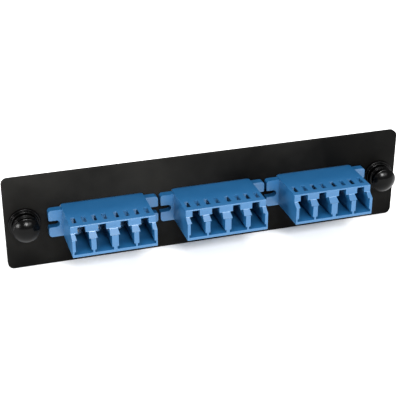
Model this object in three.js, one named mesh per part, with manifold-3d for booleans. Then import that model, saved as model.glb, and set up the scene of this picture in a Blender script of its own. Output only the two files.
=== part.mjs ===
// A black steel patch plate that carries three blue quad fibre adapters and two push-pull latches.
//
// Millimetres, +Z up. X runs along the plate and +Y points from the plate into the enclosure, so the
// ports that a user sees face -Y. The origin is the centre of the plate's rear face, which is the face
// that seats on the enclosure.
import * as THREE from "three";
import { mergeVertices } from "three/addons/utils/BufferGeometryUtils.js";
import Module from "manifold-3d";

const wasm = await Module();
wasm.setup();

// ---- Driving dimensions -------------------------------------------------------------------------

// Plate
const PLATE_WIDTH = 130.0;
const PLATE_HEIGHT = 30.5;
const PLATE_THICKNESS = 1.5;
const PLATE_CORNER_R = 2.0;
const LATCH_SPACING = 118.0;
const LATCH_HOLE_R = 3.3;

// Adapters: a body that goes through the plate, with a flange that stops on the plate's front.
// The body is two shells, welded in the corner where the front shell meets the flange.
const ADAPTER_PITCH = 35.3;
const ADAPTER_ROW_OFFSET = 0.6;
const BODY_WIDTH = 25.9;
const BODY_HEIGHT = 9.35;
const BODY_CORNER_R = 0.35;
const FRONT_REACH = 17.6;
const REAR_REACH = 9.5;
const CUTOUT_CLEARANCE = 0.3;
const FLANGE_WIDTH = 34.5;
const FLANGE_TOP = 4.15;
const FLANGE_BOTTOM = -4.9;
const FLANGE_THICKNESS = 2.4;
const FLANGE_CORNER_R = 1.0;
const FLANGE_SLOT_WIDTH = 2.2;
const FLANGE_SLOT_Z = -0.5;
const FLANGE_SLOT_DEPTH = 3.4;
const FLANGE_SLOT_MOUTH_R = 0.4;
const FLANGE_SLOT_FLAT = 0.02; // keeps the two arcs at the slot's closed end apart

// Body ends: the upper part of each end is set back behind a slope
const STEP_BACK = 2.1;
const STEP_TOP = 2.4;
const STEP_FOOT = 1.0;
const STEP_FILLET_R = 1.1;

// Ports: four at each end, in two pairs
const PORT_PITCH = 6.25;
const PAIR_EXTRA_GAP = 0.5;
const PORT_WIDTH = 4.7;
const FLOOR_THICKNESS = 1.0;
const RELIEF_HEIGHT = 0.9;
const RELIEF_DEPTH = 0.47;
const LIP_HALF_FOOT = 1.85;
const LIP_HALF_TOP = 2.1;
const LATCH_SLOT_WIDTH = 2.35;
const ROOF_THICKNESS = 0.475;
const WINDOW_SETBACK = 2.2;
const WINDOW_LENGTH = 3.7;
const WINDOW_INNER = 1.0;
const WINDOW_OUTER = 2.2;

// Walls across the middle of the body, one in each shell, and what is held between them
const FRONT_WALL_FACE = 1.2;
const REAR_WALL_FACE = 2.4;
const WALL_HOLE_R = 1.5;
const COLLAR_POCKET_R = 2.25;
const COLLAR_POCKET_DEPTH = 0.8;
const WELD_GAP = 0.02;
const HOLDER_HALF_LENGTH = 4.1;
const HOLDER_R = 1.35;
const HOLDER_BORE_R = 0.875;
const HOLDER_LIP_R = 0.7;
const HOLDER_COLLAR_R = 2.1;
const HOLDER_LIP_LENGTH = 0.6;
const HOLDER_PLAY = 0.05;
const HOLDER_SLIT = 0.35;
const SLEEVE_R = 0.81;
const SLEEVE_BORE_R = 0.625;
const SLEEVE_LENGTH = 6.8;
const SLEEVE_SLIT = 0.3;

// Retaining clip: sheet bent round the bottom and sides of the body, behind the plate
const CLIP_SHEET = 0.22;
const CLIP_GAP = 0.03;
const CLIP_FRONT = 0.5;
const CLIP_REAR = 5.3;
const CLIP_TOP = 3.6;
const CLIP_WINDOW_HALF = 1.7;
const CLIP_WINDOW_MARGIN = 0.6;
const TONGUE_HALF = 1.4;
const TONGUE_REACH = 1.3;
const TONGUE_PLATE_GAP = 0.25;
const TONGUE_ROOT_LAP = 0.05;
const STOP_HALF = 2.0;
const STOP_LENGTH = 0.8;
const STOP_HEIGHT = 0.2;

// Latches: a split grommet in the plate and a plunger that slides in it
const GROMMET_R = 5.0;
const GROMMET_FLANGE = 0.8;
const COLLAR_R = 4.4;
const COLLAR_FRONT = 1.4;
const GROMMET_EDGE = 0.25;
const BARREL_R = 3.1;
const BARREL_END = 2.2;
const BARB_R = 3.6;
const BARB_RAMP = 0.7;
const LEG_TIP_R = 2.5;
const LEG_END = 8.0;
const LEG_SLIT = 0.9;
const LEG_SLIT_START = 0.8;
const BORE_R = 1.8;
const PIN_R = 1.6;
const PIN_WAIST_R = 1.2;
const PIN_END = 9.0;
const PIN_TAPER = 1.0;
const PIN_BULGE = 2.5;
const PIN_STEP = 0.5;
const PIN_END_R = 0.9;
const KNOB_R = 4.0;
const KNOB_BACK_R = 3.9;
const KNOB_WAIST_R = 3.3;
const KNOB_SEAT = 1.8;
const KNOB_LENGTH = 4.0;
const KNOB_DOME = 1.1;
const KNOB_BACK_RIM = 0.9;
const KNOB_FRONT_RIM = 1.2;
const KNOB_EDGE = 0.3;
const KNOB_DOME_STEPS = 5;

// Roundness: segments in a quarter circle of an outline, and round a turned part
const OUTLINE_SEGMENTS = 2;
const HOLDER_SEGMENTS = 12;
const LATCH_SEGMENTS = 24;
const SLEEVE_SEGMENTS = 5;

// ---- Places worked out from them ----------------------------------------------------------------

const PLATE_FRONT = -PLATE_THICKNESS;
const BODY_FRONT = PLATE_FRONT - FRONT_REACH;
const BODY_REAR = REAR_REACH;
const CONTACT_Y = (BODY_FRONT + BODY_REAR) / 2;
const HALF_LENGTH = (BODY_REAR - BODY_FRONT) / 2;
const BODY_TOP = BODY_HEIGHT / 2;
const BODY_BOTTOM = -BODY_HEIGHT / 2;
const WELD = PLATE_FRONT - FLANGE_THICKNESS - CONTACT_Y;
const PORT_FLOOR = BODY_BOTTOM + FLOOR_THICKNESS;
const PORT_AXIS_Z = PORT_FLOOR + PORT_WIDTH / 2;
const SLOT_ROOF = BODY_TOP - ROOF_THICKNESS;
const PORT_CENTRES = [-1.5, -0.5, 0.5, 1.5].map(
  (step) => step * PORT_PITCH + Math.sign(step) * (PAIR_EXTRA_GAP / 2),
);
const PAST = 1.0; // how far a cutter runs past the face it opens
const WELD_DISTANCE = 1e-4;

// ---- Materials ----------------------------------------------------------------------------------

const finish = (color, roughness, metalness) =>
  new THREE.MeshStandardMaterial({ color, roughness, metalness });
const plateCoat = () => finish(0x1c1c1d, 0.6, 0.1);
const bluePlastic = () => finish(0x2f6fb4, 0.45, 0.0);
const springSteel = () => finish(0xb9bcc0, 0.3, 1.0);
const zirconia = () => finish(0xf2f0ea, 0.25, 0.0);
const blackNylon = () => finish(0x0c0c0d, 0.25, 0.0);

// ---- Outlines and solids ------------------------------------------------------------------------

/** A closed outline through corners [a, b, radius], with each corner that has a radius rounded. */
function outline(corners) {
  const shape = new THREE.Shape();
  corners.forEach(([a, b, radius = 0], index) => {
    const corner = new THREE.Vector2(a, b);
    const towards = ([c, d]) => new THREE.Vector2(c, d).sub(corner).normalize();
    const before = towards(corners.at(index - 1));
    const after = towards(corners[(index + 1) % corners.length]);
    if (radius > 0) {
      const half = Math.acos(THREE.MathUtils.clamp(before.dot(after), -1, 1)) / 2;
      const inward = before.clone().add(after).normalize();
      const centre = inward.multiplyScalar(radius / Math.sin(half)).add(corner);
      const start = before.clone().multiplyScalar(radius / Math.tan(half)).add(corner).sub(centre);
      const end = after.clone().multiplyScalar(radius / Math.tan(half)).add(corner).sub(centre);
      const turnsRight = before.cross(after) > 0;
      if (index === 0) shape.moveTo(centre.x + start.x, centre.y + start.y);
      shape.absarc(centre.x, centre.y, radius, start.angle(), end.angle(), turnsRight);
    } else if (index === 0) {
      shape.moveTo(a, b);
    } else {
      shape.lineTo(a, b);
    }
  });
  shape.closePath();
  return shape;
}

/** Corners of a rectangle, all with one radius. */
function rectangle(a0, b0, a1, b1, radius = 0) {
  return [[a0, b0, radius], [a1, b0, radius], [a1, b1, radius], [a0, b1, radius]];
}

/** Corners and their mirror images in the vertical axis, in an order that closes the outline. */
function mirrored(half) {
  const other = half.map(([a, b, radius]) => [-a, b, radius]);
  return half.concat(other.reverse());
}

function extruded(corners, length) {
  const settings = { depth: length, bevelEnabled: false, curveSegments: OUTLINE_SEGMENTS };
  return new THREE.ExtrudeGeometry(outline(corners), settings);
}

/** An (x, z) outline, extruded along Y. */
function prismY(corners, yFront, yRear) {
  return extruded(corners, yRear - yFront).rotateX(Math.PI / 2).translate(0, yRear, 0);
}

/** A (y, z) outline, extruded along X. */
function prismX(corners, xLeft, xRight) {
  const turn = new THREE.Matrix4().makeBasis(
    new THREE.Vector3(0, 1, 0),
    new THREE.Vector3(0, 0, 1),
    new THREE.Vector3(1, 0, 0),
  );
  return extruded(corners, xRight - xLeft).applyMatrix4(turn).translate(xLeft, 0, 0);
}

/** An (x, y) outline, extruded along Z. */
function prismZ(corners, zLow, zHigh) {
  return extruded(corners, zHigh - zLow).translate(0, 0, zLow);
}

/** A profile of (radius, y) points, turned round the Y axis. */
function turned(profile, segments) {
  return new THREE.LatheGeometry(profile.map(([r, y]) => new THREE.Vector2(r, y)), segments);
}

/** Vertices and triangles of a closed geometry, with shared vertices merged and slivers dropped. */
function weld(geometry) {
  const bare = geometry.index ? geometry.toNonIndexed() : geometry.clone();
  bare.deleteAttribute("normal");
  bare.deleteAttribute("uv");
  const merged = mergeVertices(bare, WELD_DISTANCE);
  const triangles = [];
  for (let i = 0; i < merged.index.count; i += 3) {
    const [a, b, c] = [0, 1, 2].map((k) => merged.index.getX(i + k));
    if (a !== b && b !== c && c !== a) triangles.push(a, b, c);
  }
  merged.setIndex(triangles);
  return merged;
}

function toSolid(geometry) {
  const { attributes, index } = weld(geometry);
  const vertProperties = new Float32Array(attributes.position.array);
  const triVerts = new Uint32Array(index.array);
  return new wasm.Manifold(new wasm.Mesh({ numProp: 3, vertProperties, triVerts }));
}

function toGeometry(solid) {
  const mesh = solid.getMesh();
  const geometry = new THREE.BufferGeometry();
  geometry.setAttribute("position", new THREE.BufferAttribute(mesh.vertProperties, 3));
  geometry.setIndex(new THREE.BufferAttribute(mesh.triVerts, 1));
  geometry.computeVertexNormals();
  return geometry;
}

/** The first list of geometries joined into one, less everything in the second list. */
function carve(joined, removed = []) {
  const [first, ...others] = joined.map(toSolid);
  let solid = others.reduce((sum, next) => sum.add(next), first);
  solid = removed.map(toSolid).reduce((sum, next) => sum.subtract(next), solid);
  return toGeometry(solid);
}

function named(name, geometry, material, x = 0, y = 0, z = 0) {
  const mesh = new THREE.Mesh(geometry, material);
  mesh.name = name;
  mesh.position.set(x, y, z);
  return mesh;
}

// ---- Plate --------------------------------------------------------------------------------------

function plateGeometry() {
  const halfX = BODY_WIDTH / 2 + CUTOUT_CLEARANCE;
  const halfZ = BODY_HEIGHT / 2 + CUTOUT_CLEARANCE;
  const blank = prismY(
    rectangle(-PLATE_WIDTH / 2, -PLATE_HEIGHT / 2, PLATE_WIDTH / 2, PLATE_HEIGHT / 2, PLATE_CORNER_R),
    PLATE_FRONT,
    0,
  );
  const cutouts = adapterCentres().map((x) =>
    prismY(rectangle(x - halfX, -halfZ, x + halfX, halfZ), PLATE_FRONT - PAST, PAST),
  );
  const holes = [-1, 1].map((side) =>
    new THREE.CylinderGeometry(LATCH_HOLE_R, LATCH_HOLE_R, PLATE_THICKNESS + 2 * PAST, LATCH_SEGMENTS)
      .translate((side * LATCH_SPACING) / 2, PLATE_FRONT / 2, 0),
  );
  return carve([blank], [...cutouts, ...holes]);
}

function adapterCentres() {
  return [-1, 0, 1].map((step) => ADAPTER_ROW_OFFSET + step * ADAPTER_PITCH);
}

// ---- Adapter shells -----------------------------------------------------------------------------
//
// Each shell is made with its mouth facing -Y and the plane where two fibres meet at y = 0. The rear
// shell is then turned round to face +Y.

/** Side view of a shell as (y, z), from its mouth to its welded end. The mouth steps back at the top. */
function shellProfile(weldedEnd) {
  return [
    [weldedEnd, BODY_BOTTOM],
    [weldedEnd, BODY_TOP],
    [-HALF_LENGTH + STEP_BACK, BODY_TOP, BODY_CORNER_R],
    [-HALF_LENGTH + STEP_BACK, STEP_TOP, STEP_FILLET_R],
    [-HALF_LENGTH, STEP_FOOT, BODY_CORNER_R],
    [-HALF_LENGTH, BODY_BOTTOM, BODY_CORNER_R],
  ];
}

/** Front view of the flange, with a slot open to each side. */
function flangeProfile() {
  const edge = FLANGE_WIDTH / 2;
  const slotHalf = FLANGE_SLOT_WIDTH / 2;
  const slotEnd = edge - FLANGE_SLOT_DEPTH;
  const slotEndR = slotHalf - FLANGE_SLOT_FLAT / 2;
  return mirrored([
    [edge, FLANGE_BOTTOM, FLANGE_CORNER_R],
    [edge, FLANGE_SLOT_Z - slotHalf, FLANGE_SLOT_MOUTH_R],
    [slotEnd, FLANGE_SLOT_Z - slotHalf, slotEndR],
    [slotEnd, FLANGE_SLOT_Z + slotHalf, slotEndR],
    [edge, FLANGE_SLOT_Z + slotHalf, FLANGE_SLOT_MOUTH_R],
    [edge, FLANGE_TOP, FLANGE_CORNER_R],
  ]);
}

/** Front view of one port's opening: floor reliefs, plug space, lips and the slot for a plug's latch. */
function portProfile() {
  const half = PORT_WIDTH / 2;
  return mirrored([
    [half + RELIEF_DEPTH, PORT_FLOOR],
    [half + RELIEF_DEPTH, PORT_FLOOR + RELIEF_HEIGHT],
    [half, PORT_FLOOR + RELIEF_HEIGHT],
    [half, STEP_FOOT],
    [LIP_HALF_FOOT, STEP_FOOT],
    [LIP_HALF_TOP, STEP_TOP],
    [LATCH_SLOT_WIDTH / 2, STEP_TOP],
    [LATCH_SLOT_WIDTH / 2, SLOT_ROOF],
  ]);
}

/** What is hollow in a shell for one port, as far as the shell's wall: plug space, pocket and windows. */
function portHollows(wallFace) {
  const windowFront = -HALF_LENGTH + STEP_BACK + WINDOW_SETBACK;
  const windowRear = windowFront + WINDOW_LENGTH;
  const pocket = rectangle(-WINDOW_OUTER, STEP_FOOT, WINDOW_OUTER, SLOT_ROOF);
  const windows = [-1, 1].map((side) => {
    const [low, high] = [side * WINDOW_INNER, side * WINDOW_OUTER].sort((a, b) => a - b);
    return prismY(rectangle(low, STEP_TOP, high, BODY_TOP + PAST), windowFront, windowRear);
  });
  return [
    prismY(portProfile(), -HALF_LENGTH - PAST, -wallFace),
    prismY(pocket, windowFront, windowRear),
    ...windows,
  ];
}

/** A round hole along Y at a sleeve's height. */
function boreAt(x, radius, yFront, yRear) {
  return new THREE.CylinderGeometry(radius, radius, yRear - yFront, HOLDER_SEGMENTS)
    .translate(x, (yFront + yRear) / 2, PORT_AXIS_Z);
}

/** The shell in front of the flange, its wall holding the collars of the four sleeve holders. */
function frontShellGeometry() {
  const weldedEnd = WELD - WELD_GAP;
  const body = prismX(shellProfile(weldedEnd), -BODY_WIDTH / 2, BODY_WIDTH / 2);
  const hollows = PORT_CENTRES.flatMap((x) => [
    ...portHollows(FRONT_WALL_FACE).map((hollow) => hollow.translate(x, 0, 0)),
    boreAt(x, WALL_HOLE_R, -FRONT_WALL_FACE - PAST, weldedEnd + PAST),
    boreAt(x, COLLAR_POCKET_R, weldedEnd - COLLAR_POCKET_DEPTH, weldedEnd + PAST),
  ]);
  return carve([body], hollows);
}

/** The shell that carries the flange and goes through the plate, with a stop for the clip on each side. */
function rearShellGeometry() {
  const side = BODY_WIDTH / 2;
  const flangeRear = PLATE_FRONT - CONTACT_Y;
  const stopFront = CLIP_REAR + CLIP_GAP - CONTACT_Y;
  const body = prismX(shellProfile(-WELD), -side, side).rotateZ(Math.PI);
  const flange = prismY(flangeProfile(), WELD, flangeRear);
  const stops = prismY(
    rectangle(-side - STOP_HEIGHT, -STOP_HALF, side + STOP_HEIGHT, STOP_HALF),
    stopFront,
    stopFront + STOP_LENGTH,
  );
  const hollows = PORT_CENTRES.flatMap((x) => [
    ...portHollows(REAR_WALL_FACE).map((hollow) => hollow.rotateZ(Math.PI).translate(x, 0, 0)),
    boreAt(x, WALL_HOLE_R, WELD - PAST, REAR_WALL_FACE + PAST),
  ]);
  return carve([body, flange, stops], hollows);
}

// ---- Sleeves and their holders ------------------------------------------------------------------

/** A tube whose collar is trapped between the shells. Its rear end is slit, to spring over the sleeve. */
function holderGeometry() {
  const end = HOLDER_HALF_LENGTH;
  const bottom = end - HOLDER_LIP_LENGTH;
  const collarRear = WELD - WELD_GAP - HOLDER_PLAY;
  const collarFront = WELD - WELD_GAP - COLLAR_POCKET_DEPTH + HOLDER_PLAY;
  const tube = turned([
    [HOLDER_LIP_R, -end],
    [HOLDER_R, -end],
    [HOLDER_R, collarFront],
    [HOLDER_COLLAR_R, collarFront],
    [HOLDER_COLLAR_R, collarRear],
    [HOLDER_R, collarRear],
    [HOLDER_R, end],
    [HOLDER_LIP_R, end],
    [HOLDER_LIP_R, bottom],
    [HOLDER_BORE_R, bottom],
    [HOLDER_BORE_R, -bottom],
    [HOLDER_LIP_R, -bottom],
    [HOLDER_LIP_R, -end],
  ], HOLDER_SEGMENTS);
  const far = HOLDER_R + PAST;
  const slit = prismY(rectangle(-HOLDER_SLIT / 2, -far, HOLDER_SLIT / 2, far), REAR_WALL_FACE, end + PAST);
  return carve([tube], [slit]);
}

/** A ceramic tube slit along its whole length, the slit facing up. */
function sleeveGeometry() {
  const ring = new THREE.Shape();
  const outerEdge = Math.asin(SLEEVE_SLIT / 2 / SLEEVE_R);
  const innerEdge = Math.asin(SLEEVE_SLIT / 2 / SLEEVE_BORE_R);
  const up = Math.PI / 2;
  ring.absarc(0, 0, SLEEVE_R, up + outerEdge, up - outerEdge + 2 * Math.PI, false);
  ring.absarc(0, 0, SLEEVE_BORE_R, up - innerEdge + 2 * Math.PI, up + innerEdge, true);
  ring.closePath();
  const settings = { depth: SLEEVE_LENGTH, bevelEnabled: false, curveSegments: SLEEVE_SEGMENTS };
  return new THREE.ExtrudeGeometry(ring, settings)
    .rotateX(Math.PI / 2)
    .translate(0, SLEEVE_LENGTH / 2, 0);
}

// ---- Retaining clip -----------------------------------------------------------------------------

/** One spring tongue as (x, y) corners: from the clip's rear edge, forwards and outwards to the plate. */
function tongueProfile(side, inner, outer) {
  const tip = outer + TONGUE_REACH;
  const corners = [
    [inner, CLIP_REAR],
    [inner, CLIP_REAR - CLIP_WINDOW_MARGIN / 2],
    [tip - CLIP_SHEET, TONGUE_PLATE_GAP],
    [tip, TONGUE_PLATE_GAP],
    [outer + TONGUE_ROOT_LAP, CLIP_REAR],
  ];
  return side > 0 ? corners.reverse() : corners.map(([x, y]) => [-x, y]);
}

/** Sheet round the bottom and sides of the body, with a window and a tongue in each side. */
function clipGeometry() {
  const inner = BODY_WIDTH / 2 + CLIP_GAP;
  const outer = inner + CLIP_SHEET;
  const low = BODY_BOTTOM - CLIP_GAP;
  const band = prismY([
    [outer, low - CLIP_SHEET],
    [outer, CLIP_TOP],
    [inner, CLIP_TOP],
    [inner, low],
    [-inner, low],
    [-inner, CLIP_TOP],
    [-outer, CLIP_TOP],
    [-outer, low - CLIP_SHEET],
  ], CLIP_FRONT, CLIP_REAR);
  const windowFront = CLIP_FRONT + CLIP_WINDOW_MARGIN;
  const windowRear = CLIP_REAR - CLIP_WINDOW_MARGIN;
  const windows = prismY(
    rectangle(-outer - PAST, -CLIP_WINDOW_HALF, outer + PAST, CLIP_WINDOW_HALF),
    windowFront,
    windowRear,
  );
  const opened = carve([band], [windows]);
  const tongues = [-1, 1].map((side) => prismZ(tongueProfile(side, inner, outer), -TONGUE_HALF, TONGUE_HALF));
  return carve([opened, ...tongues]);
}

// ---- Latches ------------------------------------------------------------------------------------

/** A collar on the plate's front, and a barrel behind it that is split into four barbed legs. */
function grommetGeometry() {
  const face = PLATE_FRONT - COLLAR_FRONT;
  const step = PLATE_FRONT - GROMMET_FLANGE;
  const body = turned([
    [BORE_R, face],
    [COLLAR_R - GROMMET_EDGE, face],
    [COLLAR_R, face + GROMMET_EDGE],
    [COLLAR_R, step],
    [GROMMET_R - GROMMET_EDGE, step],
    [GROMMET_R, step + GROMMET_EDGE],
    [GROMMET_R, PLATE_FRONT],
    [BARREL_R, PLATE_FRONT],
    [BARREL_R, BARREL_END],
    [BARB_R, BARREL_END + BARB_RAMP],
    [BARB_R, BARREL_END + 2 * BARB_RAMP],
    [LEG_TIP_R, LEG_END],
    [BORE_R, LEG_END],
    [BORE_R, face],
  ], LATCH_SEGMENTS);
  const half = LEG_SLIT / 2;
  const far = BARB_R + PAST;
  const slits = [
    prismY(rectangle(-half, -far, half, far), LEG_SLIT_START, LEG_END + PAST),
    prismY(rectangle(-far, -half, far, half), LEG_SLIT_START, LEG_END + PAST),
  ];
  return carve([body], slits);
}

/** A knob with two rims and a finger groove, on a pin that spreads the grommet's legs. */
function plungerGeometry() {
  const seat = PLATE_FRONT - KNOB_SEAT;
  const brow = seat - KNOB_LENGTH;
  const domeR = KNOB_R - KNOB_EDGE;
  const dome = Array.from({ length: KNOB_DOME_STEPS }, (_, step) => {
    const angle = ((step + 1) / KNOB_DOME_STEPS) * (Math.PI / 2);
    const radius = step + 1 < KNOB_DOME_STEPS ? domeR * Math.cos(angle) : 0;
    return [radius, brow - KNOB_DOME * Math.sin(angle)];
  });
  const profile = [
    [0, PIN_END],
    [PIN_END_R, PIN_END],
    [PIN_R, PIN_END - PIN_TAPER],
    [PIN_R, PIN_END - PIN_BULGE],
    [PIN_WAIST_R, PIN_END - PIN_BULGE - PIN_STEP],
    [PIN_WAIST_R, LEG_SLIT_START],
    [PIN_R, LEG_SLIT_START - PIN_STEP],
    [PIN_R, seat],
    [KNOB_BACK_R - KNOB_EDGE, seat],
    [KNOB_BACK_R, seat - KNOB_EDGE],
    [KNOB_BACK_R, seat - KNOB_BACK_RIM + KNOB_EDGE],
    [KNOB_WAIST_R, seat - KNOB_BACK_RIM],
    [KNOB_WAIST_R, brow + KNOB_FRONT_RIM],
    [KNOB_R, brow + KNOB_FRONT_RIM - KNOB_EDGE],
    [KNOB_R, brow + KNOB_EDGE],
    [domeR, brow],
    ...dome,
  ];
  return weld(turned(profile.reverse(), LATCH_SEGMENTS));
}

// ---- Assembly -----------------------------------------------------------------------------------

const panel = new THREE.Group();

function addPlate() {
  panel.add(named("panel_plate", plateGeometry(), plateCoat()));
}

function addAdapter(side, centreX) {
  const adapter = new THREE.Group();
  adapter.position.set(centreX, 0, 0);
  adapter.add(named(`${side}_adapter_front_shell`, frontShellGeometry(), bluePlastic(), 0, CONTACT_Y, 0));
  adapter.add(named(`${side}_adapter_rear_shell`, rearShellGeometry(), bluePlastic(), 0, CONTACT_Y, 0));
  adapter.add(named(`${side}_retaining_clip`, clipGeometry(), springSteel()));
  PORT_CENTRES.forEach((x, index) => {
    const number = index + 1;
    const place = [x, CONTACT_Y, PORT_AXIS_Z];
    adapter.add(named(`${side}_sleeve_holder_${number}`, holderGeometry(), bluePlastic(), ...place));
    adapter.add(named(`${side}_split_sleeve_${number}`, sleeveGeometry(), zirconia(), ...place));
  });
  panel.add(adapter);
}

function addLatch(side, centreX) {
  panel.add(named(`${side}_latch_grommet`, grommetGeometry(), blackNylon(), centreX));
  panel.add(named(`${side}_latch_plunger`, plungerGeometry(), blackNylon(), centreX));
}

addPlate();
adapterCentres().forEach((x, index) => addAdapter(["left", "middle", "right"][index], x));
addLatch("left", -LATCH_SPACING / 2);
addLatch("right", LATCH_SPACING / 2);

export default panel;
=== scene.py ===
"""A black steel patch plate with three blue quad fibre adapters and two push-pull latches."""

import math

import bmesh
import bpy
from mathutils import Matrix, Vector


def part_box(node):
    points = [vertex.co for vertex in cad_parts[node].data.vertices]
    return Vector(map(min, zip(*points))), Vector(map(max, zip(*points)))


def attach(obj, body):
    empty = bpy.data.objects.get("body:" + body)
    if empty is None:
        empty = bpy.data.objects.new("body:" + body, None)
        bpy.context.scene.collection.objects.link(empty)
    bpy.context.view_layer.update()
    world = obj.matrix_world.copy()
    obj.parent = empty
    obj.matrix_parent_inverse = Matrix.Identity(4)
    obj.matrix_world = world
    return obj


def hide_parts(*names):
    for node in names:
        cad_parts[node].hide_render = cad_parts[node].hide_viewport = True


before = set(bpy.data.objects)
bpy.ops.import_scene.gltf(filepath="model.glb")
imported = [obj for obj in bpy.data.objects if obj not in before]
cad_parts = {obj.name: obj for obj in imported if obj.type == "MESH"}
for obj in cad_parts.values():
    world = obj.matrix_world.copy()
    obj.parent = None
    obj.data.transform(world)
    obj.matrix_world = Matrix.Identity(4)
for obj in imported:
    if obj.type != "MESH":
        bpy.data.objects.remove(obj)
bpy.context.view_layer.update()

# Shapes are modelled in millimetres and scaled to metres once they are finished.
MM = 0.001
SIDES = ("left", "middle", "right")
PORTS = (1, 2, 3, 4)


def box_mm(node):
    """Lowest and highest corner of a CAD node, in millimetres."""
    low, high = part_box(node)
    return low / MM, high / MM


def centre_mm(node):
    """Middle of a CAD node's box, in millimetres."""
    low, high = box_mm(node)
    return (low + high) / 2


# ---- Places from the frame ----------------------------------------------------------------------

PLATE_LOW, PLATE_HIGH = box_mm("panel_plate")
FRONT_LOW, FRONT_HIGH = box_mm("middle_adapter_front_shell")
REAR_LOW, REAR_HIGH = box_mm("middle_adapter_rear_shell")
CLIP_LOW, CLIP_HIGH = box_mm("middle_retaining_clip")
HOLDER_LOW, HOLDER_HIGH = box_mm("middle_sleeve_holder_1")
SLEEVE_LOW, SLEEVE_HIGH = box_mm("middle_split_sleeve_1")
PLUNGER_LOW, PLUNGER_HIGH = box_mm("left_latch_plunger")

ADAPTER_X = {side: centre_mm(f"{side}_adapter_front_shell").x for side in SIDES}
PORT_X = [centre_mm(f"middle_sleeve_holder_{port}").x - ADAPTER_X["middle"] for port in PORTS]
LATCH_X = {side: centre_mm(f"{side}_latch_grommet").x for side in ("left", "right")}

PLATE_FRONT = PLATE_LOW.y
CONTACT_Y = (HOLDER_LOW.y + HOLDER_HIGH.y) / 2
AXIS_Z = (HOLDER_LOW.z + HOLDER_HIGH.z) / 2
BODY_HALF_WIDTH = (FRONT_HIGH.x - FRONT_LOW.x) / 2
BODY_TOP = FRONT_HIGH.z
BODY_BOTTOM = FRONT_LOW.z
HALF_LENGTH = CONTACT_Y - FRONT_LOW.y
FRONT_WELD = FRONT_HIGH.y - CONTACT_Y
REAR_WELD = REAR_LOW.y - CONTACT_Y
FLANGE_REAR = PLATE_FRONT - CONTACT_Y
FLANGE_HALF_WIDTH = (REAR_HIGH.x - REAR_LOW.x) / 2
FLANGE_BOTTOM = REAR_LOW.z
LEG_END = box_mm("left_latch_grommet")[1].y

# ---- Details the frame doesn't give, in millimetres ---------------------------------------------

# Plate
PLATE_CORNER_R = 2.0
PLATE_EDGE = 0.12
PLATE_EDGE_SEGMENTS = 3
PLATE_ARC_STEPS = 12
CUTOUT_CLEARANCE = 0.3
CUTOUT_CORNER_R = 1.2
LATCH_HOLE_R = 3.3
LATCH_HOLE_SEGMENTS = 72

# Adapter body and flange
BODY_EDGE_R = 0.25
STEP_BACK = 2.1
STEP_TOP = 2.4
STEP_FOOT = 1.0
STEP_FILLET_R = 1.1
MOULD_EDGE = 0.07
FLANGE_TOP = 4.15
FLANGE_CORNER_R = 1.0
FLANGE_ARC_STEPS = 8
FLANGE_SLOT_Z = -0.5
FLANGE_SLOT_HALF = 1.1
FLANGE_SLOT_DEPTH = 3.4
FLANGE_SLOT_ROUNDNESS = 0.98  # below 1, so that the two arcs of a slot's end don't meet in a point
FLANGE_MOUTH_R = 0.4
STOP_HALF = 2.0
STOP_LENGTH = 0.8
STOP_HEIGHT = 0.2

# Ports, windows and the walls between the shells
PORT_HALF = 2.35
FLOOR_THICKNESS = 1.0
RELIEF_HEIGHT = 0.9
RELIEF_DEPTH = 0.47
LIP_HALF_FOOT = 1.85
LIP_HALF_TOP = 2.1
SLOT_HALF = 1.175
ROOF_THICKNESS = 0.475
WINDOW_SETBACK = 2.2
WINDOW_LENGTH = 3.7
WINDOW_INNER = 0.9
WINDOW_OUTER = 2.2
FRONT_WALL_FACE = 1.2
REAR_WALL_FACE = 2.4
WALL_HOLE_R = 1.5
POCKET_R = 2.25
POCKET_DEPTH = 0.8
BORE_SEGMENTS = 40

# Retaining clip
CLIP_GAP = 0.03
CLIP_SHEET = 0.22
CLIP_FRONT = 0.5
CLIP_BEND_R = 0.5
CLIP_CORNER_R = 1.6
CLIP_EDGE = 0.05
CLIP_WINDOW_HALF = 1.7
CLIP_WINDOW_MARGIN = 0.6
CLIP_WINDOW_R = 0.4
TONGUE_HALF = 1.4
TONGUE_GAP = 0.25

# Sleeves and their holders
HOLDER_R = 1.35
HOLDER_END_R = 0.2
HOLDER_COLLAR_R = 2.1
HOLDER_COLLAR_EDGE_R = 0.1
HOLDER_BORE_R = 0.875
HOLDER_LIP_R = 0.7
HOLDER_LIP = 0.6
HOLDER_MOUTH_R = 0.08
HOLDER_PLAY = 0.05
HOLDER_SLIT = 0.35
SLEEVE_R = 0.81
SLEEVE_BORE_R = 0.625
SLEEVE_EDGE_R = 0.06
SLEEVE_SLIT = 0.3
TUBE_SEGMENTS = 48
TUBE_ARC_STEPS = 3

# Latch grommet
COLLAR_R = 4.4
COLLAR_FRONT = 1.4
COLLAR_FOOT_R = 0.1
GROMMET_R = 5.0
GROMMET_FLANGE = 0.8
GROMMET_RIM_R = 0.28
GROMMET_MOUTH_R = 0.15
GROMMET_SEAT_R = 0.05
BARREL_R = 3.1
BARREL_END = 2.2
BARREL_END_R = 0.1
BARB_R = 3.6
BARB_RAMP = 0.7
BARB_FRONT_R = 0.15
BARB_REAR_R = 0.3
LEG_TIP_R = 2.5
LEG_TIP_OUTER_R = 0.2
LEG_TIP_INNER_R = 0.1
LEG_SLIT = 0.9
LEG_SLIT_START = 0.8
BORE_R = 1.8

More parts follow.
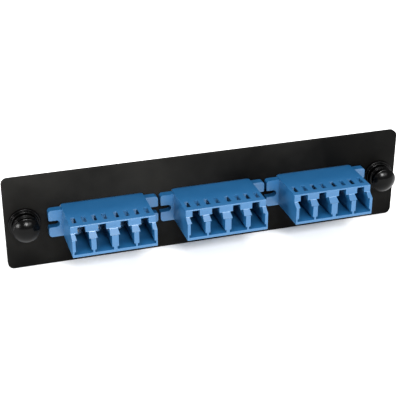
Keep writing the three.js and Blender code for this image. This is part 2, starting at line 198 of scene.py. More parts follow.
# Latch plunger
PIN_R = 1.6
PIN_WAIST_R = 1.2
PIN_WAIST_CORNER_R = 0.1
PIN_END_R = 0.9
PIN_END_CORNER_R = 0.2
PIN_TAPER = 1.0
PIN_TAPER_CORNER_R = 0.3
PIN_BULGE = 2.5
PIN_BULGE_CORNER_R = 0.2
PIN_STEP = 0.5
KNOB_R = 4.0
KNOB_BACK_R = 3.9
KNOB_WAIST_R = 3.3
KNOB_SEAT = 1.8
KNOB_SEAT_CORNER_R = 0.25
KNOB_LENGTH = 4.0
KNOB_BACK_RIM = 0.9
KNOB_FRONT_RIM = 1.2
KNOB_RIM_CORNER_R = 0.2
KNOB_DOME_R = 3.75
KNOB_DOME_HEIGHT = 1.5
KNOB_DOME_STEPS = 14
KNOB_DOME_SETBACK = 0.12
KNOB_DOME_CORNER_R = 0.1
GROOVE_LEAN_OUTER = 0.15
GROOVE_LEAN_INNER = 0.1
GROOVE_CORNER_R = 0.15
LATCH_SEGMENTS = 96
LATCH_ARC_STEPS = 5

# Meshing
PAST = 1.0  # how far a cutter runs past the face it opens
TOUCH = 0.01  # points this close to a plane count as on it
ARC_STEPS = 6  # pieces in a rounded corner of an outline
EDGE_SEGMENTS = 2  # strips across a rounded edge
SAME_POINT = 1e-5  # turned points this close are merged
NO_LENGTH = 1e-6  # turned edges this short are dropped
SAME_POINT_AFTER_BOOLEAN = 2e-4
FLAT_ANGLE = math.radians(0.5)  # faces this close to flat are joined
ROUNDED_ANGLE = math.radians(28)  # edges sharper than this are rounded
SMOOTH_ANGLE = math.radians(38)  # edges sharper than this are shaded as creases

# ---- Camera, floor and light --------------------------------------------------------------------

CAMERA_PLACE = (-91.5, -286.15, 148.9)  # millimetres
CAMERA_TURN = math.radians(17.27)
CAMERA_TILT = math.radians(26.61)
CAMERA_LENS = 94.1  # millimetres
CAMERA_SENSOR = 36.0  # millimetres
CAMERA_CLIP_START = 0.01  # metres
CAMERA_CLIP_END = 20.0  # metres
FLOOR_HALF = 4.0  # metres
WORLD_STRENGTH = 0.5

# Name, place, width and height in metres, and power in watts.
SOFTBOXES = (
    ("key", (0.0, -1.02, 0.66), 0.34, 0.3, 11.0),
    ("right", (0.42, -0.95, 0.62), 0.5, 0.3, 3.0),
    ("left", (-0.98, -0.58, 0.36), 0.4, 0.4, 9.0),
    ("over", (0.0, -0.2, 1.2), 0.9, 0.5, 6.0),
    ("back", (-0.75, 0.65, 0.85), 0.7, 0.5, 7.0),
)

WHITE = (1.0, 1.0, 1.0, 1.0)
PLATE_PAINTED_SHADE_SHIFT = 3.7  # in sizes of one mark, chosen so that the darker patches fall towards the plate's right end as painted shade


# ---- Outlines -----------------------------------------------------------------------------------

def rounded(corners, steps):
    """Points of a closed outline through (a, b, radius) corners, each rounded to its radius."""
    points = []
    for index, (a, b, radius) in enumerate(corners):
        corner = Vector((a, b))
        if radius <= 0:
            points.append(corner)
            continue
        before = (Vector(corners[index - 1][:2]) - corner).normalized()
        after = (Vector(corners[(index + 1) % len(corners)][:2]) - corner).normalized()
        half = before.angle(after) / 2
        centre = corner + (before + after).normalized() * (radius / math.sin(half))
        start = corner + before * (radius / math.tan(half)) - centre
        end = corner + after * (radius / math.tan(half)) - centre
        turn = math.atan2(start.x * end.y - start.y * end.x, start.dot(end))
        for step in range(steps + 1):
            points.append(centre + Matrix.Rotation(turn * step / steps, 2) @ start)
    return points


def rectangle(a0, b0, a1, b1, radius=0.0):
    """Corners of a rectangle, all with the same radius."""
    return [(a0, b0, radius), (a1, b0, radius), (a1, b1, radius), (a0, b1, radius)]


def mirrored(half):
    """Corners and their mirror images in the vertical axis, in an order that closes the outline."""
    return half + [(-a, b, radius) for a, b, radius in reversed(half)]


# ---- Solids -------------------------------------------------------------------------------------

# Where an outline's two directions and the direction of extrusion lie in space.
AXES = {
    "x": lambda a, b, along: (along, a, b),
    "y": lambda a, b, along: (a, along, b),
    "z": lambda a, b, along: (a, b, along),
}


def prism(corners, axis, low, high, steps=ARC_STEPS):
    """An outline extruded along an axis, as a bmesh."""
    bm = bmesh.new()
    points = rounded(corners, steps)
    rings = [[bm.verts.new(AXES[axis](p.x, p.y, along)) for p in points] for along in (low, high)]
    bm.faces.new(rings[0])
    bm.faces.new(rings[1])
    for index in range(len(points)):
        bm.faces.new((rings[0][index - 1], rings[0][index], rings[1][index], rings[1][index - 1]))
    bmesh.ops.recalc_face_normals(bm, faces=bm.faces)
    return bm


def turned(corners, segments, steps=ARC_STEPS):
    """A closed (radius, y) outline turned round the Y axis, as a bmesh."""
    bm = bmesh.new()
    points = rounded(corners, steps)
    rings = []
    for segment in range(segments):
        angle = 2 * math.pi * segment / segments
        across, up = math.cos(angle), math.sin(angle)
        rings.append([bm.verts.new((p.x * across, p.y, p.x * up)) for p in points])
    for index in range(segments):
        before, after = rings[index - 1], rings[index]
        for k in range(len(points)):
            bm.faces.new((before[k - 1], before[k], after[k], after[k - 1]))
    bmesh.ops.remove_doubles(bm, verts=bm.verts, dist=SAME_POINT)
    bmesh.ops.dissolve_degenerate(bm, edges=bm.edges, dist=NO_LENGTH)
    bmesh.ops.recalc_face_normals(bm, faces=bm.faces)
    return bm


def moved(bm, x, z=0.0):
    """The same bmesh, shifted across the front view."""
    bmesh.ops.translate(bm, verts=bm.verts, vec=(x, 0.0, z))
    return bm


def half_turned(bm):
    """Turned to face the other way along Y."""
    bmesh.ops.rotate(bm, verts=bm.verts, matrix=Matrix.Rotation(math.pi, 3, "Z"))
    return bm


def bore(x, z, radius, front, rear, segments=BORE_SEGMENTS):
    """A round rod along Y, to cut a hole with."""
    outline = [(0, front, 0), (radius, front, 0), (radius, rear, 0), (0, rear, 0)]
    return moved(turned(outline, segments), x=x, z=z)


def to_object(name, solids):
    """One object that holds all the given bmeshes."""
    mesh = bpy.data.meshes.new(name)
    joined = bmesh.new()
    for bm in solids:
        part = bpy.data.meshes.new("part")
        bm.to_mesh(part)
        bm.free()
        joined.from_mesh(part)
        bpy.data.meshes.remove(part)
    joined.to_mesh(mesh)
    joined.free()
    obj = bpy.data.objects.new(name, mesh)
    bpy.context.scene.collection.objects.link(obj)
    return obj


def apply_modifiers(obj):
    """Keeps what the modifiers make of the mesh, and drops the modifiers."""
    depsgraph = bpy.context.evaluated_depsgraph_get()
    made = bpy.data.meshes.new_from_object(obj.evaluated_get(depsgraph))
    before = obj.data
    obj.modifiers.clear()
    obj.data = made
    bpy.data.meshes.remove(before)


def boolean(obj, solids, operation):
    """Adds solids to an object, cuts them out of it, or keeps only what lies inside them."""
    if not solids:
        return
    tool = to_object("tool", solids)
    modifier = obj.modifiers.new("boolean", "BOOLEAN")
    modifier.operation = operation
    modifier.solver = "EXACT"
    modifier.use_self = True
    modifier.object = tool
    apply_modifiers(obj)
    bpy.data.objects.remove(tool)


def clean(obj):
    """Merges coincident points and joins the flat faces that a boolean left in pieces."""
    bm = bmesh.new()
    bm.from_mesh(obj.data)
    bmesh.ops.remove_doubles(bm, verts=bm.verts, dist=SAME_POINT_AFTER_BOOLEAN)
    bmesh.ops.dissolve_limit(bm, angle_limit=FLAT_ANGLE, verts=bm.verts, edges=bm.edges)
    bmesh.ops.recalc_face_normals(bm, faces=bm.faces)
    bm.to_mesh(obj.data)
    bm.free()


def edges_rounded(obj, width, segments, stays_sharp):
    """Rounds the sharp edges, so that they catch light as moulded and stamped edges do."""
    bm = bmesh.new()
    bm.from_mesh(obj.data)
    sharp = [
        edge for edge in bm.edges
        if edge.calc_face_angle(0.0) > ROUNDED_ANGLE and not all(stays_sharp(v.co) for v in edge.verts)
    ]
    bmesh.ops.bevel(
        bm, geom=sharp, offset=width, offset_type="OFFSET", segments=segments, profile=0.5,
        affect="EDGES", clamp_overlap=False, miter_outer="ARC", miter_inner="SHARP",
    )
    bm.to_mesh(obj.data)
    bm.free()


def shaded(obj):
    """Smooth over rounded edges, flat across flat faces."""
    obj.data.shade_smooth()
    obj.data.set_sharp_from_angle(angle=SMOOTH_ANGLE)
    weighted = obj.modifiers.new("normals", "WEIGHTED_NORMAL")
    weighted.keep_sharp = True
    weighted.weight = 100
    apply_modifiers(obj)


def nowhere(point):
    """True of no point, for a shape whose edges are all rounded."""
    return False


def shape(name, solids, added=(), removed=(), edge=0.0, segments=EDGE_SEGMENTS, stays_sharp=nowhere):
    """A finished mesh in metres: solids with others added and removed, and edges rounded.

    An edge stays sharp where stays_sharp is true of both its ends."""
    obj = to_object(name, solids)
    boolean(obj, list(added), "UNION")
    boolean(obj, list(removed), "DIFFERENCE")
    clean(obj)
    if edge:
        edges_rounded(obj, edge, segments, stays_sharp)
    shaded(obj)
    mesh = obj.data
    mesh.transform(Matrix.Scale(MM, 4))
    bpy.data.objects.remove(obj)
    return mesh


# ---- Materials ----------------------------------------------------------------------------------

# Most of a noise texture's values lie between these two.
NOISE_LOW = 0.3
NOISE_HIGH = 0.7


class Look:
    """A procedural material, with short ways to add the nodes that these finishes share."""

    def __init__(self, name, colour, roughness, metallic=0.0, ior=1.5):
        self.material = bpy.data.materials.new(name)
        self.material.use_nodes = True
        self.nodes = self.material.node_tree.nodes
        self.links = self.material.node_tree.links
        self.shader = self.nodes["Principled BSDF"]
        self.set("Base Color", (*colour, 1.0))
        self.set("Roughness", roughness)
        self.set("Metallic", metallic)
        self.set("IOR", ior)
        self.place = self.nodes.new("ShaderNodeTexCoord").outputs["Object"]

    def set(self, socket, value):
        """Gives one of the shader's sockets a constant."""
        self.shader.inputs[socket].default_value = value

    def noise(self, size, detail, stretch=(1.0, 1.0, 1.0), shift=0.0):
        """Noise whose features are about size millimetres across, drawn out along an axis by stretch.

        The shift picks another part of the same endless pattern."""
        mapping = self.nodes.new("ShaderNodeMapping")
        mapping.inputs["Location"].default_value = (shift, shift, shift)
        mapping.inputs["Scale"].default_value = tuple(1 / (s * size * MM) for s in stretch)
        self.links.new(self.place, mapping.inputs["Vector"])
        texture = self.nodes.new("ShaderNodeTexNoise")
        texture.inputs["Scale"].default_value = 1.0
        texture.inputs["Detail"].default_value = detail
        self.links.new(mapping.outputs["Vector"], texture.inputs["Vector"])
        return texture.outputs["Fac"]

    def between(self, factor, low, high):
        """A number that goes from low to high as a noise goes through its usual values."""
        spread = self.nodes.new("ShaderNodeMapRange")
        spread.inputs["From Min"].default_value = NOISE_LOW
        spread.inputs["From Max"].default_value = NOISE_HIGH
        spread.inputs["To Min"].default_value = low
        spread.inputs["To Max"].default_value = high
        self.links.new(factor, spread.inputs["Value"])
        return spread.outputs["Result"]

    def colours(self, factor, first, second, start=NOISE_LOW, end=NOISE_HIGH):
        """Base colour that goes from first to second as factor goes from start to end."""
        ramp = self.nodes.new("ShaderNodeValToRGB")
        ramp.color_ramp.elements[0].position = start
        ramp.color_ramp.elements[1].position = end
        ramp.color_ramp.elements[0].color = (*first, 1.0)
        ramp.color_ramp.elements[1].color = (*second, 1.0)
        self.links.new(factor, ramp.inputs["Fac"])
        self.links.new(ramp.outputs["Color"], self.shader.inputs["Base Color"])

    def bump(self, *heights):
        """Surface relief from (factor, depth in millimetres) pairs, one over another."""
        normal = None
        for factor, depth in heights:
            node = self.nodes.new("ShaderNodeBump")
            node.inputs["Strength"].default_value = 1.0
            node.inputs["Distance"].default_value = depth * MM
            self.links.new(factor, node.inputs["Height"])
            if normal:
                self.links.new(normal, node.inputs["Normal"])
            normal = node.outputs["Normal"]
        self.links.new(normal, self.shader.inputs["Normal"])

    def feed(self, output, socket):
        """Drives one of the shader's sockets with a pattern."""
        self.links.new(output, self.shader.inputs[socket])


def powder_coat():
    """Matte black powder coat: fine grain over a slow ripple, with faint handling marks whose light and
    dark patches are also painted light and shade, darker towards the plate's right end.
    """
    look = Look("plate_coat", (0.007, 0.007, 0.0065), 0.62)
    look.set("Specular IOR Level", 0.10)
    grain = look.noise(0.28, 4.0)
    ripple = look.noise(1.4, 2.0)
    # Painted light and shade: the marks' pattern is shifted so its darker patches fall towards the
    # plate's right end, where less light falls, and the base colour below follows it.
    marks = look.noise(30.0, 4.0, shift=PLATE_PAINTED_SHADE_SHIFT)
    look.colours(marks, (0.0020, 0.0019, 0.0017), (0.0160, 0.0155, 0.0142), start=0.35, end=0.65)
    look.feed(look.between(marks, 0.54, 0.70), "Roughness")
    look.bump((ripple, 0.012), (grain, 0.016))
    return look.material


def moulded_blue():
    """Satin blue moulding with a fine spark-eroded surface and slight flow marks."""
    look = Look("adapter_blue", (0.0145, 0.097, 0.217), 0.36, ior=1.65)
    look.set("Coat Weight", 0.35)
    look.set("Coat Roughness", 0.30)
    grain = look.noise(0.10, 3.0)
    flow = look.noise(5.0, 3.0, stretch=(2.2, 1.0, 1.0))
    look.colours(flow, (0.0138, 0.093, 0.209), (0.0152, 0.101, 0.225))
    look.feed(look.between(flow, 0.33, 0.42), "Roughness")
    look.bump((grain, 0.003))
    return look.material


def black_nylon():
    """Glossy black nylon with faint moulding waviness and fine scuffs."""
    look = Look("latch_nylon", (0.0012, 0.0012, 0.0012), 0.25)
    look.set("Specular IOR Level", 0.17)
    waves = look.noise(2.5, 2.0)
    scuffs = look.noise(0.35, 4.0, stretch=(1.0, 1.0, 3.0))
    look.colours(waves, (0.0009, 0.0009, 0.0009), (0.0015, 0.0015, 0.0015))
    look.feed(look.between(scuffs, 0.17, 0.25), "Roughness")
    look.bump((waves, 0.004), (scuffs, 0.0004))
    return look.material


def spring_steel():
    """Bright rolled strip: grain along its length, with dull patches."""
    look = Look("clip_steel", (0.62, 0.63, 0.65), 0.3, metallic=1.0)
    grain = look.noise(0.06, 3.0, stretch=(40.0, 1.0, 40.0))
    patches = look.noise(4.0, 3.0)
    look.colours(patches, (0.54, 0.55, 0.57), (0.68, 0.69, 0.71))
    look.feed(look.between(grain, 0.34, 0.48), "Roughness")
    look.bump((grain, 0.002))
    return look.material


def zirconia():
    """Ground ivory ceramic, with grinding marks round it."""
    look = Look("sleeve_ceramic", (0.86, 0.84, 0.78), 0.2, ior=2.1)
    look.set("Subsurface Weight", 0.2)
    look.set("Subsurface Radius", (1.0, 0.9, 0.7))
    look.set("Subsurface Scale", 0.3 * MM)
    grinding = look.noise(0.05, 2.0, stretch=(20.0, 1.0, 20.0))
    cast = look.noise(1.5, 2.0)
    look.colours(cast, (0.82, 0.80, 0.73), (0.88, 0.87, 0.82))
    look.feed(look.between(grinding, 0.14, 0.26), "Roughness")
    look.bump((grinding, 0.001))
    return look.material


# ---- Plate --------------------------------------------------------------------------------------

def plate_mesh():
    """A flat plate with a cutout for each adapter and a hole for each latch."""
    half_x = BODY_HALF_WIDTH + CUTOUT_CLEARANCE
    half_z = BODY_TOP + CUTOUT_CLEARANCE
    outline = rectangle(PLATE_LOW.x, PLATE_LOW.z, PLATE_HIGH.x, PLATE_HIGH.z, PLATE_CORNER_R)
    blank = prism(outline, "y", PLATE_LOW.y, PLATE_HIGH.y, steps=PLATE_ARC_STEPS)
    removed = []
    for x in ADAPTER_X.values():
        cutout = rectangle(x - half_x, -half_z, x + half_x, half_z, CUTOUT_CORNER_R)
        removed.append(prism(cutout, "y", PLATE_LOW.y - PAST, PAST))
    for x in LATCH_X.values():
        removed.append(bore(x, 0, LATCH_HOLE_R, PLATE_LOW.y - PAST, PAST, LATCH_HOLE_SEGMENTS))
    return shape("plate", [blank], removed=removed, edge=PLATE_EDGE, segments=PLATE_EDGE_SEGMENTS)


# ---- Adapter shells -----------------------------------------------------------------------------
#
# A shell is made with its mouth facing -Y and the plane where two fibres meet at y = 0.

def shell_profile(welded_end):
    """Side view as (y, z), from the mouth to the welded end. The mouth steps back at the top."""
    return [
        (welded_end, BODY_BOTTOM, 0),
        (welded_end, BODY_TOP, 0),
        (-HALF_LENGTH + STEP_BACK, BODY_TOP, BODY_EDGE_R),
        (-HALF_LENGTH + STEP_BACK, STEP_TOP, STEP_FILLET_R),
        (-HALF_LENGTH, STEP_FOOT, BODY_EDGE_R),
        (-HALF_LENGTH, BODY_BOTTOM, BODY_EDGE_R),
    ]


def flange_profile():
    """Front view of the flange, with a slot open to each side."""
    edge = FLANGE_HALF_WIDTH
    slot_end = edge - FLANGE_SLOT_DEPTH
    end_r = FLANGE_SLOT_HALF * FLANGE_SLOT_ROUNDNESS
    return mirrored([
        (edge, FLANGE_BOTTOM, FLANGE_CORNER_R),
        (edge, FLANGE_SLOT_Z - FLANGE_SLOT_HALF, FLANGE_MOUTH_R),
        (slot_end, FLANGE_SLOT_Z - FLANGE_SLOT_HALF, end_r),
        (slot_end, FLANGE_SLOT_Z + FLANGE_SLOT_HALF, end_r),
        (edge, FLANGE_SLOT_Z + FLANGE_SLOT_HALF, FLANGE_MOUTH_R),
        (edge, FLANGE_TOP, FLANGE_CORNER_R),
    ])


def port_profile():
    """Front view of one port's opening: floor reliefs, plug space, lips and the latch's slot."""
    floor = BODY_BOTTOM + FLOOR_THICKNESS
    relief_top = floor + RELIEF_HEIGHT
    return mirrored([
        (PORT_HALF + RELIEF_DEPTH, floor, 0),
        (PORT_HALF + RELIEF_DEPTH, relief_top, 0),
        (PORT_HALF, relief_top, 0),
        (PORT_HALF, STEP_FOOT, 0),
        (LIP_HALF_FOOT, STEP_FOOT, 0),
        (LIP_HALF_TOP, STEP_TOP, 0),
        (SLOT_HALF, STEP_TOP, 0),
        (SLOT_HALF, BODY_TOP - ROOF_THICKNESS, 0),
    ])


def port_hollows(x, wall_face):
    """What is hollow for one port: plug space, the pocket behind the lips, and two windows."""
    front = -HALF_LENGTH + STEP_BACK + WINDOW_SETBACK
    rear = front + WINDOW_LENGTH
    pocket = rectangle(-WINDOW_OUTER, STEP_FOOT, WINDOW_OUTER, BODY_TOP - ROOF_THICKNESS)
    solids = [
        prism(port_profile(), "y", -HALF_LENGTH - PAST, -wall_face),
        prism(pocket, "y", front, rear),
    ]
    for side in (-1, 1):
        low, high = sorted((side * WINDOW_INNER, side * WINDOW_OUTER))
        solids.append(prism(rectangle(low, front, high, rear), "z", STEP_TOP, BODY_TOP + PAST))
    return [moved(solid, x=x) for solid in solids]


def on_weld(point):
    """True where the shells are welded together, so that no groove runs round the body's outside."""
    inside_flange = point.z < FLANGE_TOP - TOUCH and abs(point.x) > BODY_HALF_WIDTH + TOUCH
    return abs(point.y - REAR_WELD) < TOUCH and point.z > BODY_BOTTOM - TOUCH and not inside_flange


def front_shell_mesh():
    """The shell in front of the plate, with a pocket behind each port for the sleeve holder's collar."""
    body = prism(shell_profile(REAR_WELD), "x", -BODY_HALF_WIDTH, BODY_HALF_WIDTH)
    removed = []
    for x in PORT_X:
        removed += port_hollows(x, FRONT_WALL_FACE)
        removed.append(bore(x, AXIS_Z, WALL_HOLE_R, -FRONT_WALL_FACE - PAST, REAR_WELD + PAST))
        removed.append(bore(x, AXIS_Z, POCKET_R, FRONT_WELD - POCKET_DEPTH, REAR_WELD + PAST))
    return shape("front_shell", [body], removed=removed, edge=MOULD_EDGE, stays_sharp=on_weld)


def rear_shell_mesh():
    """The shell that passes through the plate, with the flange in front and the clip's stops behind."""
    body = half_turned(prism(shell_profile(-REAR_WELD), "x", -BODY_HALF_WIDTH, BODY_HALF_WIDTH))
    flange = prism(flange_profile(), "y", REAR_WELD, FLANGE_REAR, steps=FLANGE_ARC_STEPS)
    stop_front = CLIP_HIGH.y + CLIP_GAP - CONTACT_Y
    stop_edge = BODY_HALF_WIDTH + STOP_HEIGHT
    stop_outline = rectangle(-stop_edge, -STOP_HALF, stop_edge, STOP_HALF)
    stops = prism(stop_outline, "y", stop_front, stop_front + STOP_LENGTH)
    added = [flange, stops]
    removed = []
    for x in PORT_X:
        removed += [half_turned(solid) for solid in port_hollows(-x, REAR_WALL_FACE)]
        removed.append(bore(x, AXIS_Z, WALL_HOLE_R, REAR_WELD - PAST, REAR_WALL_FACE + PAST))
    return shape("rear_shell", [body], added, removed, edge=MOULD_EDGE, stays_sharp=on_weld)


# ---- Sleeves and their holders ------------------------------------------------------------------

def holder_mesh():
    """A tube with a collar trapped between the shells, slit at the rear to spring over the sleeve."""
    end = (HOLDER_HIGH.y - HOLDER_LOW.y) / 2
    bottom = end - HOLDER_LIP
    collar_rear = FRONT_WELD - HOLDER_PLAY
    collar_front = FRONT_WELD - POCKET_DEPTH + HOLDER_PLAY
    tube = turned([
        (HOLDER_LIP_R, -end, HOLDER_MOUTH_R),
        (HOLDER_R, -end, HOLDER_END_R),
        (HOLDER_R, collar_front, 0),
        (HOLDER_COLLAR_R, collar_front, HOLDER_COLLAR_EDGE_R),
        (HOLDER_COLLAR_R, collar_rear, HOLDER_COLLAR_EDGE_R),
        (HOLDER_R, collar_rear, 0),
        (HOLDER_R, end, HOLDER_END_R),
        (HOLDER_LIP_R, end, HOLDER_MOUTH_R),
        (HOLDER_LIP_R, bottom, 0),
        (HOLDER_BORE_R, bottom, 0),
        (HOLDER_BORE_R, -bottom, 0),
        (HOLDER_LIP_R, -bottom, 0),
    ], TUBE_SEGMENTS, TUBE_ARC_STEPS)
    slit_outline = rectangle(-HOLDER_SLIT / 2, -HOLDER_COLLAR_R, HOLDER_SLIT / 2, HOLDER_COLLAR_R)
    slit = prism(slit_outline, "y", REAR_WALL_FACE, end + PAST)
    return shape("holder", [tube], removed=[slit])


def sleeve_mesh():
    """A ceramic tube slit along its whole length, the slit facing up."""
    half = (SLEEVE_HIGH.y - SLEEVE_LOW.y) / 2
    tube = turned([
        (SLEEVE_BORE_R, -half, SLEEVE_EDGE_R),
        (SLEEVE_R, -half, SLEEVE_EDGE_R),
        (SLEEVE_R, half, SLEEVE_EDGE_R),
        (SLEEVE_BORE_R, half, SLEEVE_EDGE_R),
    ], TUBE_SEGMENTS, TUBE_ARC_STEPS)
    slit_outline = rectangle(-SLEEVE_SLIT / 2, 0, SLEEVE_SLIT / 2, SLEEVE_R + PAST)
    slit = prism(slit_outline, "y", -half - PAST, half + PAST)
    return shape("sleeve", [tube], removed=[slit])


# ---- Retaining clip -----------------------------------------------------------------------------

def clip_mesh():
    """Sheet bent round the bottom and sides of the body, with a window and a tongue in each side."""
    inner = BODY_HALF_WIDTH + CLIP_GAP
    outer = inner + CLIP_SHEET
    low = BODY_BOTTOM - CLIP_GAP
    top = CLIP_HIGH.z
    rear = CLIP_HIGH.y
    tip = (CLIP_HIGH.x - CLIP_LOW.x) / 2
    band = prism([
        (outer, low - CLIP_SHEET, CLIP_BEND_R),
        (outer, top, 0),
        (inner, top, 0),
        (inner, low, CLIP_BEND_R - CLIP_SHEET),
        (-inner, low, CLIP_BEND_R - CLIP_SHEET),
        (-inner, top, 0),
        (-outer, top, 0),
        (-outer, low - CLIP_SHEET, CLIP_BEND_R),
    ], "y", CLIP_FRONT, rear)
    side_view = prism([
        (CLIP_FRONT, low - PAST, 0),
        (rear, low - PAST, 0),
        (rear, top, CLIP_CORNER_R),
        (CLIP_FRONT, top, CLIP_CORNER_R),
    ], "x", -outer - PAST, outer + PAST)
    window_front = CLIP_FRONT + CLIP_WINDOW_MARGIN
    window_rear = rear - CLIP_WINDOW_MARGIN
    window_outline = rectangle(-outer - PAST, window_front, outer + PAST, window_rear, CLIP_WINDOW_R)
    window = prism(window_outline, "z", -CLIP_WINDOW_HALF, CLIP_WINDOW_HALF)
    tongues = []
    for side in (-1, 1):
        tongues.append(prism([
            (side * inner, rear, 0),
            (side * inner, rear - CLIP_WINDOW_MARGIN / 2, 0),
            (side * (tip - CLIP_SHEET), TONGUE_GAP, 0),
            (side * tip, TONGUE_GAP, 0),
            (side * outer, rear - CLIP_SHEET, 0),
            (side * outer, rear, 0),
        ], "z", -TONGUE_HALF, TONGUE_HALF))
    obj = to_object("band", [band])
    boolean(obj, [side_view], "INTERSECT")
    boolean(obj, [window], "DIFFERENCE")
    boolean(obj, tongues, "UNION")
    strip = bmesh.new()
    strip.from_mesh(obj.data)
    bpy.data.objects.remove(obj)
    return shape("clip", [strip], edge=CLIP_EDGE)


# ---- Latches ------------------------------------------------------------------------------------

def grommet_mesh():
    """A collar on the plate's front, and a barrel behind it that is split into four barbed legs."""
    face = PLATE_FRONT - COLLAR_FRONT
    step = PLATE_FRONT - GROMMET_FLANGE
    body = turned([
        (BORE_R, face, GROMMET_MOUTH_R),
        (COLLAR_R, face, GROMMET_RIM_R),
        (COLLAR_R, step, COLLAR_FOOT_R),
        (GROMMET_R, step, GROMMET_RIM_R),
        (GROMMET_R, PLATE_FRONT, GROMMET_SEAT_R),
        (BARREL_R, PLATE_FRONT, 0),
        (BARREL_R, BARREL_END, BARREL_END_R),
        (BARB_R, BARREL_END + BARB_RAMP, BARB_FRONT_R),
        (BARB_R, BARREL_END + 2 * BARB_RAMP, BARB_REAR_R),
        (LEG_TIP_R, LEG_END, LEG_TIP_OUTER_R),
        (BORE_R, LEG_END, LEG_TIP_INNER_R),
    ], LATCH_SEGMENTS, LATCH_ARC_STEPS)
    half = LEG_SLIT / 2
    far = BARB_R + PAST
    slits = [
        prism(rectangle(-half, -far, half, far), "y", LEG_SLIT_START, LEG_END + PAST),
        prism(rectangle(-far, -half, far, half), "y", LEG_SLIT_START, LEG_END + PAST),
    ]
    return shape("grommet", [body], removed=slits)


def dome_outline(front):
    """Corners of the knob's domed face, a cap of a sphere, from its middle out to its edge."""
    sphere_r = (KNOB_DOME_R ** 2 + KNOB_DOME_HEIGHT ** 2) / (2 * KNOB_DOME_HEIGHT)
    corners = []
    for step in range(KNOB_DOME_STEPS + 1):
        angle = math.asin(KNOB_DOME_R / sphere_r) * step / KNOB_DOME_STEPS
        corners.append((sphere_r * math.sin(angle), front + sphere_r * (1 - math.cos(angle)), 0))
    return corners


def plunger_mesh():
    """A knob with two rims and a finger groove, on a pin that spreads the grommet's legs."""
    knob_front = PLUNGER_LOW.y
    dome_edge = knob_front + KNOB_DOME_HEIGHT
    seat = PLATE_FRONT - KNOB_SEAT
    groove_front = seat - KNOB_LENGTH + KNOB_FRONT_RIM
    groove_rear = seat - KNOB_BACK_RIM
    pin_end = PLUNGER_HIGH.y
    return shape("plunger", [turned([
        *dome_outline(knob_front),
        (KNOB_R, dome_edge + KNOB_DOME_SETBACK, KNOB_DOME_CORNER_R),
        (KNOB_R, groove_front - GROOVE_LEAN_OUTER, KNOB_RIM_CORNER_R),
        (KNOB_WAIST_R, groove_front + GROOVE_LEAN_INNER, GROOVE_CORNER_R),
        (KNOB_WAIST_R, groove_rear - GROOVE_LEAN_INNER, GROOVE_CORNER_R),
        (KNOB_BACK_R, groove_rear + GROOVE_LEAN_OUTER, KNOB_RIM_CORNER_R),
        (KNOB_BACK_R, seat, KNOB_SEAT_CORNER_R),
        (PIN_R, seat, 0),
        (PIN_R, LEG_SLIT_START - PIN_STEP, PIN_WAIST_CORNER_R),
        (PIN_WAIST_R, LEG_SLIT_START, PIN_WAIST_CORNER_R),
        (PIN_WAIST_R, pin_end - PIN_BULGE - PIN_STEP, PIN_WAIST_CORNER_R),
        (PIN_R, pin_end - PIN_BULGE, PIN_BULGE_CORNER_R),
        (PIN_R, pin_end - PIN_TAPER, PIN_TAPER_CORNER_R),
        (PIN_END_R, pin_end, PIN_END_CORNER_R),
        (0, pin_end, 0),
    ], LATCH_SEGMENTS, LATCH_ARC_STEPS)])


# ---- Assembly -----------------------------------------------------------------------------------

def add(name, mesh, material, node, body="panel", at=(0.0, 0.0, 0.0)):
    """A piece that stands for a CAD node and rides on its body. The place is in millimetres."""
    piece = bpy.data.objects.new(name, mesh)
    bpy.context.scene.collection.objects.link(piece)
    if not mesh.materials:
        mesh.materials.append(material)
    piece.location = Vector(at) * MM
    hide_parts(node)
    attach(piece, body)


def add_adapters(blue, steel, ceramic):
    """Three adapters that share their meshes, each with its clip and its four sleeves in holders."""
    large_parts = {
        "adapter_front_shell": (front_shell_mesh(), blue, "adapter_blue", CONTACT_Y),
        "adapter_rear_shell": (rear_shell_mesh(), blue, "adapter_blue", CONTACT_Y),
        "retaining_clip": (clip_mesh(), steel, "clip_steel", 0.0),
    }
    port_parts = {
        ("holder", "sleeve_holder"): (holder_mesh(), blue, "adapter_blue"),
        ("sleeve", "split_sleeve"): (sleeve_mesh(), ceramic, "sleeve_ceramic"),
    }
    for side in SIDES:
        for part, (mesh, material, slot, y) in large_parts.items():
            at = (ADAPTER_X[side], y, 0)
            add(f"{side}_{part}_detail", mesh, material, f"{side}_{part}", at=at)
        for port, x in zip(PORTS, PORT_X):
            at = (ADAPTER_X[side] + x, CONTACT_Y, AXIS_Z)
            for (short_name, part), (mesh, material, slot) in port_parts.items():
                name = f"{side}_{short_name}_detail_{port}"
                add(name, mesh, material, f"{side}_{part}_{port}", at=at)


def add_latches(nylon):
    """A grommet that stays with the plate and a plunger that slides in it, at each end."""
    grommet = grommet_mesh()
    plunger = plunger_mesh()
    for side, x in LATCH_X.items():
        at = (x, 0, 0)
        add(f"{side}_grommet_detail", grommet, nylon, f"{side}_latch_grommet", at=at)
        add(
            f"{side}_plunger_detail", plunger, nylon, f"{side}_latch_plunger",
            body=f"{side}_plunger", at=at,
        )


# ---- Studio -------------------------------------------------------------------------------------

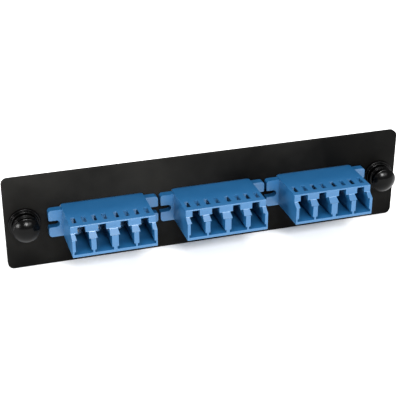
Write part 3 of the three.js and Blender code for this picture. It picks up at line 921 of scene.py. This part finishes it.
def add_camera():
    """From above and in front of the plate's left end, looking down along it."""
    data = bpy.data.cameras.new("camera")
    data.sensor_width = CAMERA_SENSOR
    data.lens = CAMERA_LENS
    data.clip_start = CAMERA_CLIP_START
    data.clip_end = CAMERA_CLIP_END
    forward = Vector((
        math.sin(CAMERA_TURN) * math.cos(CAMERA_TILT),
        math.cos(CAMERA_TURN) * math.cos(CAMERA_TILT),
        -math.sin(CAMERA_TILT),
    ))
    camera = bpy.data.objects.new("camera", data)
    camera.location = Vector(CAMERA_PLACE) * MM
    camera.rotation_euler = forward.to_track_quat("-Z", "Y").to_euler()
    bpy.context.scene.collection.objects.link(camera)
    bpy.context.scene.camera = camera


def floor_material():
    """Matte near-white paint with hardly any mottle."""
    look = Look("floor_paint", (0.96, 0.96, 0.96), 0.9)
    look.set("Specular IOR Level", 0.0)
    mottle = look.noise(40.0, 2.0)
    look.colours(mottle, (0.955, 0.955, 0.955), (0.965, 0.965, 0.965))
    return look.material


def add_floor():
    """A plain floor at the height of the plate's lower edge."""
    half = FLOOR_HALF
    low = PLATE_LOW.z * MM
    corners = [(-half, -half, low), (half, -half, low), (half, half, low), (-half, half, low)]
    mesh = bpy.data.meshes.new("floor")
    mesh.from_pydata(corners, [], [(0, 1, 2, 3)])
    mesh.materials.append(floor_material())
    floor = bpy.data.objects.new("floor", mesh)
    bpy.context.scene.collection.objects.link(floor)


def add_light(name, place, width, height, power):
    """A softbox, in metres and watts, that faces the frame's origin."""
    data = bpy.data.lights.new(name, "AREA")
    data.shape = "RECTANGLE"
    data.size = width
    data.size_y = height
    data.energy = power
    light = bpy.data.objects.new(name, data)
    light.location = place
    light.rotation_euler = (-Vector(place)).to_track_quat("-Z", "Y").to_euler()
    bpy.context.scene.collection.objects.link(light)


def add_world():
    """Even white light from all round."""
    world = bpy.data.worlds.new("studio")
    world.use_nodes = True
    background = world.node_tree.nodes["Background"]
    background.inputs["Color"].default_value = WHITE
    background.inputs["Strength"].default_value = WORLD_STRENGTH
    bpy.context.scene.world = world


def add_studio():
    """Camera, floor, softboxes and the picture's contrast."""
    add_camera()
    add_floor()
    add_world()
    for softbox in SOFTBOXES:
        add_light(*softbox)
    bpy.context.scene.view_settings.view_transform = "Standard"
    bpy.context.scene.view_settings.look = "Medium High Contrast"


add_studio()
blue_plastic = moulded_blue()
add("plate_detail", plate_mesh(), powder_coat(), "panel_plate")
add_adapters(blue_plastic, spring_steel(), zirconia())
add_latches(black_nylon())
